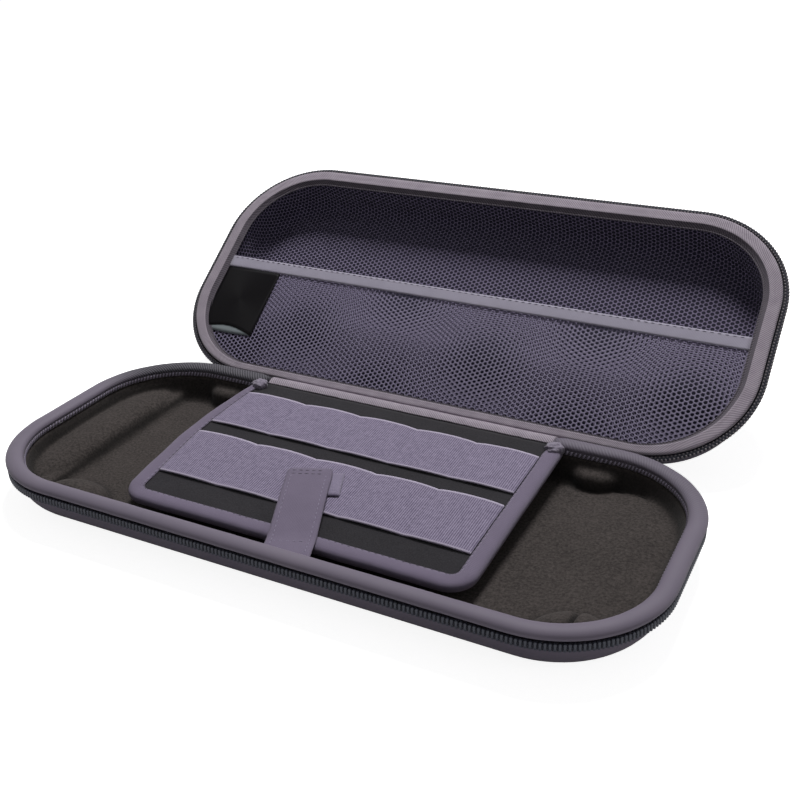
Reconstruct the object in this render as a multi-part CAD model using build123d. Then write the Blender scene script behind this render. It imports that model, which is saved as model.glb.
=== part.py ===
from build123d import *
import math
import os

# Zip-round shell case for a handheld game console, standing open.
# Millimetres. X along the length, Y from the front zip (-) to the hinge (+), Z up.
# The origin is the middle of the base's underside.

# Case outline, taken over the rim
CASE_LENGTH = 264.0
CASE_WIDTH = 116.0
CORNER_RADIUS = 41.0
BASE_HEIGHT = 20.0
LID_DEPTH = 22.7

# Moulded shells
SHELL_WALL = 2.4
BASE_SHELL_INSET = 2.0
BASE_SHELL_DRAFT = 4.6
BASE_EDGE_RADIUS = 12.0
LID_SHELL_INSET = 1.2
LID_SHELL_DRAFT = 3.0
LID_EDGE_RADIUS = 9.0

# Hinge fold line and the angle the lid has fallen back from closed
HINGE_OUT = 3.7
HINGE_DROP = 5.0
LID_ANGLE = 144.0
HINGE_LENGTH = 131.0
STRIP_THICK = 0.5
FOLD_GAP = 0.5

# Rim: half of the gap between the closed halves, and the pieces stacked under it
HALF_GAP = 0.15
ROLL_WIDTH = 6.2
ROLL_HEIGHT = 4.1
LID_BINDING_WIDTH = 7.4
LID_BINDING_HEIGHT = 2.05
BINDING_TAPE_THICK = 0.8
BINDING_TAPE_HEIGHT = 3.4
SEAM_CLEAR = 0.1

# Zip
ZIP_TAPE_THICK = 0.7
BASE_TAPE_START = 1.8
BASE_TAPE_END = 4.3
LID_TAPE_REACH = 0.3
TAPE_UNDER_RIM = 3.6
COIL_THICK = 1.5
COIL_HEIGHT = 3.0
LID_COIL_WIDTH = 2.1
LID_COIL_HEIGHT = 1.6
ZIP_FROM_CLOTH = 16.6

# Zip sliders and pullers
SLIDER_LENGTH = 11.0
SLIDER_WIDTH = 8.0
SLIDER_NOSE_WIDTH = 6.4
SLIDER_HEIGHT = 4.4
SLIDER_PLATE = 1.0
SLIDER_FLANGE = 0.9
SLIDER_CLEAR = 0.3
SLIDER_TURN = 168.0
SLIDER_FROM_CLOTH = 5.0
SLIDER_OUT = 2.9
SLIDER_DROP = 2.5
BAIL_LENGTH = 6.4
BAIL_WIDTH = 2.0
BAIL_RISE = 3.0
BAIL_BAR = 1.0
PULLER_LENGTH = 22.0
PULLER_WIDTH = 6.4
PULLER_THICK = 1.2
PULLER_EYE_WIRE = 1.2
PULLER_EYE_CLEAR = 0.35
PULLER_CORNER = 1.6
PULLER_HOLE = 1.3
PULLER_HANG = 18.0

# Moulded tray in the base
TRAY_CLEAR = 0.3
TRAY_TOP_DROP = 4.6
TRAY_FLOOR_THICK = 2.3
TRAY_WALL_INSET = 7.0
TRAY_WALL_DRAFT = 3.4
TRAY_FLOOR_RADIUS = 3.0
BAR_EDGE_X = 105.0
BAR_HEIGHT = 3.6
BAR_RADIUS = 2.2
BOSS_X = 95.0
BOSS_RADIUS = 11.0
BOSS_DEPTH = 7.0
BOSS_TOP_DROP = 7.5
REAR_BOSS_X = 84.0

# Lid lining
LINING_THICK = 1.2

# Mesh pocket, its elastic edge and the label sewn beside it
MESH_THICK = 0.7
MESH_HOLE_RADIUS = 4.5
MESH_PITCH = 10.6
POCKET_EDGE_Y = 1.5
POCKET_TAPE_WIDTH = 6.2
POCKET_TAPE_THICK = 0.6
LABEL_LENGTH = 36.0
LABEL_WIDTH = 30.0
LABEL_THICK = 0.5

# Card flap
FLAP_WIDTH = 140.0
FLAP_FRONT_GAP = 11.6
FLAP_THICK = 2.0
FLAP_TILT = 3.0
FLAP_REAR_CLEAR = 0.4
FLAP_REAR_DROP = 3.1
FLAP_CORNER = 9.0
FLAP_BINDING_THICK = 0.6
FLAP_BINDING_WIDTH = 6.0

# Elastic card bands on the flap
BAND_THICK = 0.7
BAND_RISE = 1.0
BAND_POCKETS = 5
STITCH_WIDTH = 1.6
BAND_SCALLOP = 2.2
UPPER_BAND_START = 8.0
UPPER_BAND_HEIGHT = 26.0
LOWER_BAND_START = 42.5
LOWER_BAND_HEIGHT = 29.5

# Closure tab with its hook and loop patches
TAB_WIDTH = 17.0
TAB_THICK = 1.4
TAB_FOOT_X = 10.0
TAB_LEAN = 21.5
TAB_LENGTH = 52.0
TAB_TIP_RADIUS = 2.5
TAB_FOOT_DROP = 4.6
TAB_REST_CLEAR = 0.3
PATCH_LENGTH = 13.0
PATCH_WIDTH = 14.0
PATCH_THICK = 0.7

# Places that follow from the sizes above
HINGE_Y = CASE_WIDTH / 2 + HINGE_OUT
HINGE_Z = BASE_HEIGHT - HINGE_DROP
ZIP_START = HINGE_LENGTH / 2 + ZIP_FROM_CLOTH
ROLL_BOTTOM = -HALF_GAP - ROLL_HEIGHT
BASE_SHELL_TOP = ROLL_BOTTOM - ZIP_TAPE_THICK - 2 * SEAM_CLEAR
BASE_FORM = (BASE_SHELL_INSET, BASE_SHELL_DRAFT, BASE_EDGE_RADIUS)
LID_FORM = (LID_SHELL_INSET, LID_SHELL_DRAFT, LID_EDGE_RADIUS)
LID_LAYER = -HALF_GAP - LID_BINDING_HEIGHT - SEAM_CLEAR
LID_SHELL_TOP = LID_LAYER - ZIP_TAPE_THICK - SEAM_CLEAR
FLAP_REAR_Y = CASE_WIDTH / 2 - TRAY_WALL_INSET - FLAP_REAR_CLEAR
FLAP_REAR_Z = BASE_HEIGHT - FLAP_REAR_DROP
FLAP_LENGTH = CASE_WIDTH - 2 * TRAY_WALL_INSET - FLAP_REAR_CLEAR - FLAP_FRONT_GAP
POCKET_SPAN = CASE_LENGTH / 2 - LID_BINDING_WIDTH - SEAM_CLEAR


# Each half is drawn with the parting plane at z = 0 and its material below.
def outline(inset):
    length = CASE_LENGTH - 2 * inset
    width = CASE_WIDTH - 2 * inset
    return RectangleRounded(length, width, CORNER_RADIUS - inset)


def slab(inset, low, high):
    return Pos(0, 0, low) * extrude(outline(inset), high - low)


def ring(outer, inner, low, high):
    return slab(outer, low, high) - slab(inner, low - 1, high + 1)


def tapered(inset_low, low, inset_high, high):
    bottom = Pos(0, 0, low) * outline(inset_low)
    top = Pos(0, 0, high) * outline(inset_high)
    return loft([bottom, top], ruled=True)


def edges_at(shape, height):
    return shape.edges().filter_by_position(Axis.Z, height - 0.01, height + 0.01)


def around_rim(section):
    """Carry a section, drawn as (inset, height), once round the rim."""
    path = outline(0).wire()
    start = path @ 0
    heading = path % 0
    inward = Vector(0, 0, 1).cross(heading)
    if inward.dot(start) > 0:
        inward = -inward
        heading = -heading
    plane = Plane(origin=start, x_dir=inward, z_dir=heading)
    return sweep(plane * section, path=path)


def open_rear(shape, half_span):
    """Take the stretch at the hinge side out of a piece that runs round the rim."""
    depth = CORNER_RADIUS
    block = Box(2 * half_span, 2 * depth, 60)
    return shape - Pos(0, CASE_WIDTH / 2, 0) * block


def in_base(shape):
    return Pos(0, 0, BASE_HEIGHT) * shape


def closed_lid(shape):
    return Pos(0, 0, BASE_HEIGHT) * mirror(shape, about=Plane.XY)


def opened(shape):
    fold = Pos(0, HINGE_Y, HINGE_Z)
    return fold * Rot(-LID_ANGLE, 0, 0) * fold.inverse() * shape


def in_lid(shape):
    return opened(closed_lid(shape))


# Shells
def shell(depth, top, form):
    """A moulded shell. Its form is the inset at the rim, the draft and the edge radius."""
    inset, draft, radius = form
    outer = tapered(inset + draft, -depth, inset, top)
    outer = fillet(edges_at(outer, -depth), radius)
    return outer - cavity(depth, 0, top + 0.01, form)


def cavity(depth, clear, top, form):
    """What fills a shell from wall to wall, less a clearance."""
    inset, draft, radius = form
    high = inset + SHELL_WALL + clear
    floor = -depth + SHELL_WALL + clear
    body = tapered(high + draft, floor, high, top)
    return fillet(edges_at(body, floor), radius - SHELL_WALL)


# Rim pieces of the base
def rim_roll():
    middle = (ROLL_WIDTH / 2, -HALF_GAP - ROLL_HEIGHT / 2)
    section = Pos(*middle) * Ellipse(ROLL_WIDTH / 2, ROLL_HEIGHT / 2)
    return open_rear(around_rim(section), HINGE_LENGTH / 2 + SLIDER_CLEAR)


def base_binding():
    outer = TRAY_WALL_INSET - BINDING_TAPE_THICK
    high = -TRAY_TOP_DROP + SEAM_CLEAR + BINDING_TAPE_HEIGHT
    tape = ring(outer, TRAY_WALL_INSET, high - BINDING_TAPE_HEIGHT, high)
    return open_rear(tape, HINGE_LENGTH / 2 + SLIDER_CLEAR)


def base_zip_tape():
    high = ROLL_BOTTOM - SEAM_CLEAR
    tape = ring(BASE_TAPE_START, BASE_TAPE_END, high - ZIP_TAPE_THICK, high)
    return open_rear(tape, ZIP_START)


def base_zip_coil():
    inner = BASE_TAPE_START - SEAM_CLEAR
    high = ROLL_BOTTOM - SEAM_CLEAR
    coil = ring(inner - COIL_THICK, inner, high - COIL_HEIGHT, high)
    top_edges = edges_at(coil, high)
    low_edges = edges_at(coil, high - COIL_HEIGHT)
    coil = fillet(top_edges + low_edges, COIL_THICK * 0.4)
    return open_rear(coil, ZIP_START)


# Moulded tray
def end_bar(side, floor):
    length = CASE_LENGTH / 2 - BAR_EDGE_X
    bar = Box(length, CASE_WIDTH, BAR_HEIGHT, align=(Align.MIN, Align.CENTER, Align.MIN))
    crest = bar.edges().filter_by(Axis.Y).group_by(Axis.Z)[-1].sort_by(Axis.X)[0]
    bar = fillet(crest, BAR_RADIUS)
    if side < 0:
        bar = mirror(bar, about=Plane.YZ)
    return Pos(side * BAR_EDGE_X, 0, floor) * bar


def wall_boss(x, side, floor):
    """A half-round boss standing out from the long wall."""
    height = -BOSS_TOP_DROP - floor
    boss = Cylinder(BOSS_RADIUS, height, align=(Align.CENTER, Align.CENTER, Align.MIN))
    boss = fillet(boss.edges().group_by(Axis.Z)[-1], BOSS_DEPTH * 0.5)
    wall = CASE_WIDTH / 2 - TRAY_WALL_INSET
    return Pos(x, side * (wall + BOSS_RADIUS - BOSS_DEPTH), floor) * boss


def tray():
    top = -TRAY_TOP_DROP
    body = cavity(BASE_HEIGHT, TRAY_CLEAR, top, BASE_FORM)
    floor = -BASE_HEIGHT + SHELL_WALL + TRAY_CLEAR + TRAY_FLOOR_THICK
    low_inset = TRAY_WALL_INSET + TRAY_WALL_DRAFT
    hollow = tapered(low_inset, floor, TRAY_WALL_INSET, top + 0.01)
    hollow = fillet(edges_at(hollow, floor), TRAY_FLOOR_RADIUS)
    for side in (-1, 1):
        hollow = hollow - end_bar(side, floor)
        hollow = hollow - wall_boss(side * BOSS_X, -1, floor)
        hollow = hollow - wall_boss(side * REAR_BOSS_X, 1, floor)
    return body - hollow


# Hinge strip, one leaf on each side of the fold line
def leaf(near, far):
    """A strip between two (y, z) points, drawn on its middle line."""
    run = Vector(0, far[0] - near[0], far[1] - near[1])
    middle = (0, (near[0] + far[0]) / 2, (near[1] + far[1]) / 2)
    strip = Box(HINGE_LENGTH, run.length, STRIP_THICK)
    turn = math.degrees(math.atan2(run.Z, run.Y))
    return Pos(*middle) * Rot(turn, 0, 0) * strip


def hinge_strip_base():
    inner = CASE_WIDTH / 2 - TRAY_WALL_INSET
    height = BASE_HEIGHT - TRAY_TOP_DROP + SEAM_CLEAR + STRIP_THICK + 0.1
    return leaf((inner, height), (HINGE_Y - FOLD_GAP, HINGE_Z + SEAM_CLEAR))


def hinge_strip_lid():
    seat = CASE_WIDTH / 2 + STRIP_THICK / 2 + SEAM_CLEAR
    height = BASE_HEIGHT + HALF_GAP + LID_BINDING_HEIGHT * 0.7
    return opened(leaf((HINGE_Y - FOLD_GAP / 2, HINGE_Z + FOLD_GAP), (seat, height)))


# Lid pieces
def lid_binding():
    low = -HALF_GAP - LID_BINDING_HEIGHT
    high = -HALF_GAP
    width = LID_BINDING_WIDTH
    points = [
        (0, low),
        (0, high - 0.7),
        (0.7, high),
        (width - 2.6, high),
        (width - 0.5, low + 0.6),
        (width, low),
    ]
    return around_rim(make_face(Polyline(*points, close=True)))


def lid_zip_tape():
    tape = ring(-LID_TAPE_REACH, TAPE_UNDER_RIM - SEAM_CLEAR, LID_LAYER - ZIP_TAPE_THICK, LID_LAYER)
    return open_rear(tape, ZIP_START)


def lid_zip_coil():
    inner = LID_TAPE_REACH + SEAM_CLEAR
    low = LID_LAYER - ZIP_TAPE_THICK
    coil = ring(-inner - LID_COIL_WIDTH, -inner, low, low + LID_COIL_HEIGHT)
    rims = edges_at(coil, low) + edges_at(coil, low + LID_COIL_HEIGHT)
    coil = fillet(rims, LID_COIL_HEIGHT * 0.35)
    return open_rear(coil, ZIP_START)


def lid_lining():
    top = LID_SHELL_TOP
    outer = cavity(LID_DEPTH, TRAY_CLEAR, top, LID_FORM)
    inner = cavity(LID_DEPTH, TRAY_CLEAR + LINING_THICK, top + 0.01, LID_FORM)
    return outer - inner


def mesh_pocket():
    sheet = outline(TAPE_UNDER_RIM + SEAM_CLEAR)
    sheet = sheet & Pos(0, POCKET_EDGE_Y + CASE_WIDTH / 2) * Rectangle(CASE_LENGTH, CASE_WIDTH)
    inside = outline(LID_BINDING_WIDTH + 1.2 * MESH_HOLE_RADIUS)
    row_step = MESH_PITCH * math.sqrt(3) / 2
    rows = int((CASE_WIDTH / 2 - LID_BINDING_WIDTH - POCKET_EDGE_Y - 4.0) / row_step)
    columns = int(CASE_LENGTH / MESH_PITCH)
    first = POCKET_EDGE_Y + 4.0 + MESH_HOLE_RADIUS
    holes = []
    for row in range(rows):
        y = first + row * row_step
        for column in range(columns):
            x = (column - (columns - 1) / 2 + 0.25 * (-1) ** row) * MESH_PITCH
            if inside.face().is_inside(Vector(x, y, 0)):
                holes.append(Pos(x, y) * RegularPolygon(MESH_HOLE_RADIUS, 6, rotation=30))
    net = sheet - holes
    return Pos(0, 0, LID_LAYER - MESH_THICK) * extrude(net, MESH_THICK)


def pocket_elastic():
    tape = Box(2 * POCKET_SPAN, POCKET_TAPE_WIDTH, POCKET_TAPE_THICK)
    height = LID_LAYER + SEAM_CLEAR + POCKET_TAPE_THICK / 2
    overlap = POCKET_TAPE_WIDTH * 0.4
    return Pos(0, POCKET_EDGE_Y - POCKET_TAPE_WIDTH / 2 + overlap, height) * tape


def label():
    near = POCKET_EDGE_Y + POCKET_TAPE_WIDTH * 0.4 + SEAM_CLEAR
    left = -POCKET_SPAN
    panel = Pos(left + LABEL_WIDTH / 2, near + LABEL_LENGTH / 2)
    panel = panel * Rectangle(LABEL_WIDTH, LABEL_LENGTH)
    panel = panel & outline(LID_BINDING_WIDTH + SEAM_CLEAR)
    return Pos(0, 0, LID_LAYER + SEAM_CLEAR) * extrude(panel, LABEL_THICK)


# Card flap, drawn flat with its rear edge on y = 0 and its top at z = 0
def on_flap(shape):
    return Pos(0, FLAP_REAR_Y, FLAP_REAR_Z) * Rot(FLAP_TILT, 0, 0) * shape


def flap_outline(grow):
    width = FLAP_WIDTH + 2 * grow
    length = FLAP_LENGTH + grow
    sheet = Pos(0, -length / 2) * Rectangle(width, length)
    front = sheet.vertices().group_by(Axis.Y)[0]
    return fillet(front, FLAP_CORNER + grow)


def flap_panel():
    return Pos(0, 0, -FLAP_THICK) * extrude(flap_outline(0), FLAP_THICK)


def flap_binding():
    grow = FLAP_BINDING_THICK + SEAM_CLEAR
    high = grow
    low = -FLAP_THICK - grow
    body = Pos(0, 0, low) * extrude(flap_outline(grow), high - low)
    core_low = -FLAP_THICK - SEAM_CLEAR
    core = Pos(0, 1, core_low) * extrude(flap_outline(SEAM_CLEAR), FLAP_THICK + 2 * SEAM_CLEAR)
    core = core + Pos(0, 0, core_low) * extrude(flap_outline(SEAM_CLEAR), FLAP_THICK + 2 * SEAM_CLEAR)
    window = Pos(0, 5, low - 1) * extrude(flap_outline(-FLAP_BINDING_WIDTH), high - low + 2)
    middle = Pos(0, 0, low - 1) * extrude(flap_outline(-FLAP_BINDING_WIDTH), high - low + 2)
    return body - core - window - middle


def band_span():
    return FLAP_WIDTH - 2 * FLAP_BINDING_WIDTH - 2 * SEAM_CLEAR


def band_profile():
    """Elastic bowed up over each pocket and held down at each stitch line."""
    span = band_span()
    pocket = (span - STITCH_WIDTH) / BAND_POCKETS - STITCH_WIDTH
    upper = []
    lower = []
    x = -span / 2
    for index in range(BAND_POCKETS):
        for height, lines in ((BAND_THICK, upper), (0.0, lower)):
            start = x + STITCH_WIDTH
            end = start + pocket
            crown = ((start + end) / 2, height + BAND_RISE)
            lines.append(Line((x, height), (start, height)))
            lines.append(ThreePointArc((start, height), crown, (end, height)))
        x = x + STITCH_WIDTH + pocket
    for height, lines in ((BAND_THICK, upper), (0.0, lower)):
        lines.append(Line((x, height), (x + STITCH_WIDTH, height)))
    ends = [
        Line((-span / 2, 0), (-span / 2, BAND_THICK)),
        Line((span / 2, 0), (span / 2, BAND_THICK)),
    ]
    return make_face(upper + lower + ends)


def band_plan(height):
    """The band from above: the mouth of each pocket bulges, the other edge is straight."""
    span = band_span()
    step = span / BAND_POCKETS
    shape = Pos(0, -height / 2) * Rectangle(span, height)
    for index in range(BAND_POCKETS):
        left = -span / 2 + index * step
        base_line = Line((left, -0.01), (left + step, -0.01))
        bulge = ThreePointArc((left, -0.01), (left + step / 2, BAND_SCALLOP), (left + step, -0.01))
        shape = shape + make_face([base_line, bulge])
    return shape


def card_band(start, height):
    reach = height + 2 * BAND_SCALLOP
    strip = Plane.XZ * band_profile()
    strip = Pos(0, BAND_SCALLOP + 0.5, 0) * extrude(strip, reach)
    plan = Pos(0, 0, -1) * extrude(band_plan(height), BAND_THICK + BAND_RISE + 2)
    band = strip & plan
    return on_flap(Pos(0, -start, SEAM_CLEAR) * band)


# Closure tab: drawn along +Y from the rim, then leaned and set at its foot
def tab_place(shape):
    foot = Pos(TAB_FOOT_X, -CASE_WIDTH / 2 + TRAY_WALL_INSET, 0)
    return foot * Rot(0, 0, TAB_LEAN) * shape


def tab_step(y):
    """Distance along the tab of a place that lies at y."""
    lean = math.cos(math.radians(TAB_LEAN))
    return (y + CASE_WIDTH / 2 - TRAY_WALL_INSET) / lean


def flap_top(y):
    return FLAP_REAR_Z - (FLAP_REAR_Y - y) * math.tan(math.radians(FLAP_TILT))


def patch_heights():
    loop_low = 2 * SEAM_CLEAR + BAND_THICK + BAND_RISE
    hook_low = loop_low + PATCH_THICK + SEAM_CLEAR
    return loop_low, hook_low


def closure_tab():
    lift = patch_heights()[1] + PATCH_THICK + TAB_REST_CLEAR
    front_y = FLAP_REAR_Y - FLAP_LENGTH * math.cos(math.radians(FLAP_TILT))
    edge = tab_step(front_y - FLAP_BINDING_THICK)
    tip_y = -CASE_WIDTH / 2 + TRAY_WALL_INSET + TAB_LENGTH * math.cos(math.radians(TAB_LEAN))
    patch_y = tip_y - PATCH_LENGTH - 3.0
    binding_top = 2 * FLAP_BINDING_THICK + 2 * SEAM_CLEAR
    low = [
        (-6.0, BASE_HEIGHT - TAB_FOOT_DROP + 0.6),
        (0.0, BASE_HEIGHT - TAB_FOOT_DROP),
        (edge, flap_top(front_y) + binding_top),
        (tab_step(patch_y), flap_top(patch_y) + lift),
        (TAB_LENGTH, flap_top(tip_y) + lift),
    ]
    high = [(s, z + TAB_THICK) for s, z in reversed(low)]
    sheet = Plane.YZ * make_face(Polyline(*low, *high, close=True))
    sheet = Pos(-TAB_WIDTH / 2, 0, 0) * extrude(sheet, TAB_WIDTH)
    corners = sheet.edges().group_by(Axis.Y)[-1].filter_by(Axis.Z)
    sheet = tab_place(fillet(corners, TAB_TIP_RADIUS))
    bay = Pos(0, 0, 0) * extrude(outline(TRAY_WALL_INSET + SEAM_CLEAR), BASE_HEIGHT)
    return sheet & bay


def patch(height):
    tip = TAB_LENGTH - 2.0 - PATCH_LENGTH / 2
    lean = math.cos(math.radians(TAB_LEAN))
    y = -CASE_WIDTH / 2 + TRAY_WALL_INSET + tip * lean
    x = TAB_FOOT_X - tip * math.sin(math.radians(TAB_LEAN))
    pad = Box(PATCH_WIDTH, PATCH_LENGTH, PATCH_THICK, align=(Align.CENTER, Align.CENTER, Align.MIN))
    pad = fillet(pad.edges().filter_by(Axis.Z), 1.0)
    seat = Pos(x, y, flap_top(y) + height)
    return seat * Rot(FLAP_TILT, 0, 0) * Rot(0, 0, TAB_LEAN) * pad


# Zip slider: two plates on a diamond, side flanges, and a bail over the outer plate
def slider_wedge(thick, grow):
    half = SLIDER_LENGTH / 2
    wide = SLIDER_WIDTH / 2 + grow
    nose = SLIDER_NOSE_WIDTH / 2 + grow
    points = [(-half, -nose), (half - 2.5, -wide), (half, -wide + 1.6)]
    points = points + [(half, wide - 1.6), (half - 2.5, wide), (-half, nose)]
    return extrude(make_face(Polyline(*points, close=True)), thick)


def slider_body():
    plate = slider_wedge(SLIDER_PLATE, 0)
    outer = Pos(0, 0, SLIDER_HEIGHT / 2 - SLIDER_PLATE) * plate
    inner = Pos(0, 0, -SLIDER_HEIGHT / 2) * plate
    flange_height = SLIDER_FLANGE + SLIDER_PLATE
    rim = slider_wedge(flange_height, 0) - Pos(0, 0, -1) * slider_wedge(10, -SLIDER_FLANGE)
    outer_rim = Pos(0, 0, SLIDER_HEIGHT / 2 - flange_height) * rim
    inner_rim = Pos(0, 0, -SLIDER_HEIGHT / 2) * rim
    channel = Box(2 * SLIDER_LENGTH, SLIDER_NOSE_WIDTH - 2 * SLIDER_FLANGE, 10)
    sides = (outer_rim + inner_rim) - channel
    post = Pos(SLIDER_LENGTH / 2 - 2.4, 0, 0) * Box(3.2, 2.2, SLIDER_HEIGHT - SLIDER_PLATE)
    return outer + inner + sides + post


def slider_bail():
    arch = Box(BAIL_LENGTH, BAIL_WIDTH, BAIL_RISE, align=(Align.CENTER, Align.CENTER, Align.MIN))
    arch = fillet(arch.edges().filter_by(Axis.Y).group_by(Axis.Z)[-1], BAIL_RISE * 0.45)
    eye = Box(
        BAIL_LENGTH - 2 * BAIL_BAR, BAIL_WIDTH + 2, BAIL_RISE - BAIL_BAR,
        align=(Align.CENTER, Align.CENTER, Align.MIN),
    )
    return Pos(0, 0, SLIDER_HEIGHT / 2 - 0.05) * (arch - eye)


def slider_middle_x():
    return HINGE_LENGTH / 2 + SLIDER_FROM_CLOTH + SLIDER_LENGTH / 2


def at_slider(shape, side):
    turn = Rot(SLIDER_TURN, 0, 0)
    if side < 0:
        shape = mirror(shape, about=Plane.YZ)
    seat = Pos(side * slider_middle_x(), CASE_WIDTH / 2 + SLIDER_OUT, HINGE_Z - SLIDER_DROP)
    return seat * turn * shape


def zip_slider(side):
    return at_slider(slider_body() + slider_bail(), side)


def puller_pivot():
    """Height of the eye wire's middle under the bail, in the slider's own frame."""
    return SLIDER_HEIGHT / 2 + (BAIL_RISE - BAIL_BAR) / 2


def puller_slot():
    """The eye reaches far enough from its wire to clear the bail at any angle."""
    corner = math.hypot(BAIL_LENGTH / 2, (BAIL_RISE + BAIL_BAR) / 2)
    return corner + PULLER_EYE_CLEAR


def zip_puller(side):
    start = (Align.MIN, Align.CENTER, Align.CENTER)
    plate = Box(PULLER_LENGTH, PULLER_WIDTH, PULLER_THICK, align=start)
    free_end = plate.edges().filter_by(Axis.Z).group_by(Axis.X)[-1]
    plate = fillet(free_end, PULLER_CORNER)
    hole_x = PULLER_LENGTH - 3 * PULLER_HOLE
    plate = plate - Pos(hole_x, 0, 0) * Cylinder(PULLER_HOLE, 2 * PULLER_THICK)
    plate = plate - Box(puller_slot(), BAIL_WIDTH + PULLER_THICK, 2 * PULLER_THICK, align=start)
    wire = Rot(90, 0, 0) * Cylinder(PULLER_EYE_WIRE / 2, PULLER_WIDTH)
    turned = Pos(0, 0, puller_pivot()) * Rot(0, -PULLER_HANG, 0) * (plate + wire)
    return at_slider(turned, side)


def build():
    parts = {
        "base_shell": in_base(shell(BASE_HEIGHT, BASE_SHELL_TOP, BASE_FORM)),
        "base_rim_roll": in_base(rim_roll()),
        "base_binding": in_base(base_binding()),
        "base_zip_tape": in_base(base_zip_tape()),
        "base_zip_coil": in_base(base_zip_coil()),
        "base_tray": in_base(tray()),
        "hinge_strip_base": hinge_strip_base(),
        "hinge_strip_lid": hinge_strip_lid(),
        "lid_shell": in_lid(shell(LID_DEPTH, LID_SHELL_TOP, LID_FORM)),
        "lid_binding": in_lid(lid_binding()),
        "lid_zip_tape": in_lid(lid_zip_tape()),
        "lid_zip_coil": in_lid(lid_zip_coil()),
        "lid_lining": in_lid(lid_lining()),
        "mesh_pocket": in_lid(mesh_pocket()),
        "pocket_elastic": in_lid(pocket_elastic()),
        "blank_label": in_lid(label()),
        "flap_panel": on_flap(flap_panel()),
        "flap_binding": on_flap(flap_binding()),
        "upper_card_band": card_band(UPPER_BAND_START, UPPER_BAND_HEIGHT),
        "lower_card_band": card_band(LOWER_BAND_START, LOWER_BAND_HEIGHT),
        "closure_tab": closure_tab(),
        "loop_patch": patch(patch_heights()[0]),
        "hook_patch": patch(patch_heights()[1]),
        "zip_slider_left": zip_slider(-1),
        "zip_slider_right": zip_slider(1),
        "zip_puller_left": zip_puller(-1),
        "zip_puller_right": zip_puller(1),
    }
    return parts


os.makedirs("parts", exist_ok=True)
for name, shape in build().items():
    export_step(shape, f"parts/{name}.step")
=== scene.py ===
# %% [markdown]
# # A zip-round case for a handheld game console
# This notebook dresses a finished CAD model of the case, a fixed frame in metres: +X along the
# length, -Y to the front zip, +Z up. New pieces are laid where their plain solids are, in the
# cloth, foam, nylon and metal of the real case.

import bpy
import bmesh
import math
from mathutils import Matrix, Vector, noise


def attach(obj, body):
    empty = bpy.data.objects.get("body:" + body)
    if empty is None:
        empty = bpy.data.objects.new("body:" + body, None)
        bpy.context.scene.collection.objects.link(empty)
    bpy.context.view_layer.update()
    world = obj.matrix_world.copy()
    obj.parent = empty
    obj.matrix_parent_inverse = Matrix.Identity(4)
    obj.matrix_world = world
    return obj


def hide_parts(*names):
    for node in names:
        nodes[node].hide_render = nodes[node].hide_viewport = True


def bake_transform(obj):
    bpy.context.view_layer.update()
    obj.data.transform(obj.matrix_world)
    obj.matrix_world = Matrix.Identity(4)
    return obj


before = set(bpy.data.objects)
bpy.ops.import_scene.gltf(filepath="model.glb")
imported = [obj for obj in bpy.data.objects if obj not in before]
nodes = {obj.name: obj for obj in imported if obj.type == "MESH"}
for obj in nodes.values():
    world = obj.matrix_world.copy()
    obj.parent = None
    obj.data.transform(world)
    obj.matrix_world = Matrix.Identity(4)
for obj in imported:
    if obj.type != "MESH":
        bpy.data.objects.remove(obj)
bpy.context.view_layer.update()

# %% [markdown]
# ## Sizes
# The case is drawn in millimetres and made metres at the very end of each piece. Each half is
# drawn as if the case were shut, with the parting plane at the height of the base's rim, and
# the lid's pieces are then turned back about the fold line of the hinge cloth.

# %% Sizes of the case, in millimetres
MM = 0.001
CASE_LENGTH = 264.0
CASE_WIDTH = 116.0
CORNER_RADIUS = 41.0
BASE_HEIGHT = 20.0
HINGE_Y = 61.7
HINGE_Z = 15.0
HINGE_LENGTH = 131.0
LID_ANGLE = 144.0
SHUT = Matrix.Translation((0, 0, BASE_HEIGHT))
FOLD = Matrix.Translation((0, HINGE_Y, HINGE_Z))
OPENED = FOLD @ Matrix.Rotation(math.radians(-LID_ANGLE), 4, "X") @ FOLD.inverted() @ SHUT
FLAP = Matrix.Translation((0, 50.6, 16.9)) @ Matrix.Rotation(math.radians(3.0), 4, "X")

# %% [markdown]
# ## A way round the rim
# Roll, binding, tapes and zip follow the same rounded rectangle. Each could be a curve with a
# bevel, but a straight piece that is bent round afterwards is easier to weave and stitch: its
# length is the first coordinate of the cloth map, and its girth the second.

# %% Straight legs and round corners
def route(start, heading, legs, radius, side):
    """A line of straight legs and round corners in turn, as a function of distance and inset.
    side is 1 where the inside is on the left, and -1 where it is on the right."""

    def place(distance, inset):
        at = Vector(start)
        angle = heading
        left = distance
        for number, leg in enumerate(legs):
            step = min(left, leg)
            if number % 2 == 0:
                at += step * Vector((math.cos(angle), math.sin(angle)))
            else:
                centre = at + side * radius * Vector((-math.sin(angle), math.cos(angle)))
                angle += side * step / radius
                at = centre - side * radius * Vector((-math.sin(angle), math.cos(angle)))
            left -= step
            if left <= 0:
                break
        return at + side * inset * Vector((-math.sin(angle), math.cos(angle)))

    return place


SIDE = CASE_LENGTH / 2 - CORNER_RADIUS
END = CASE_WIDTH - 2 * CORNER_RADIUS
CORNER = CORNER_RADIUS * math.pi / 2
RIM_LEGS = [SIDE, CORNER, END, CORNER, 2 * SIDE, CORNER, END, CORNER, SIDE]
ROUND = sum(RIM_LEGS)
rim = route((0, CASE_WIDTH / 2), 0.0, RIM_LEGS, CORNER_RADIUS, -1)
print("once round the rim, mm:", round(ROUND, 1))

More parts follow.
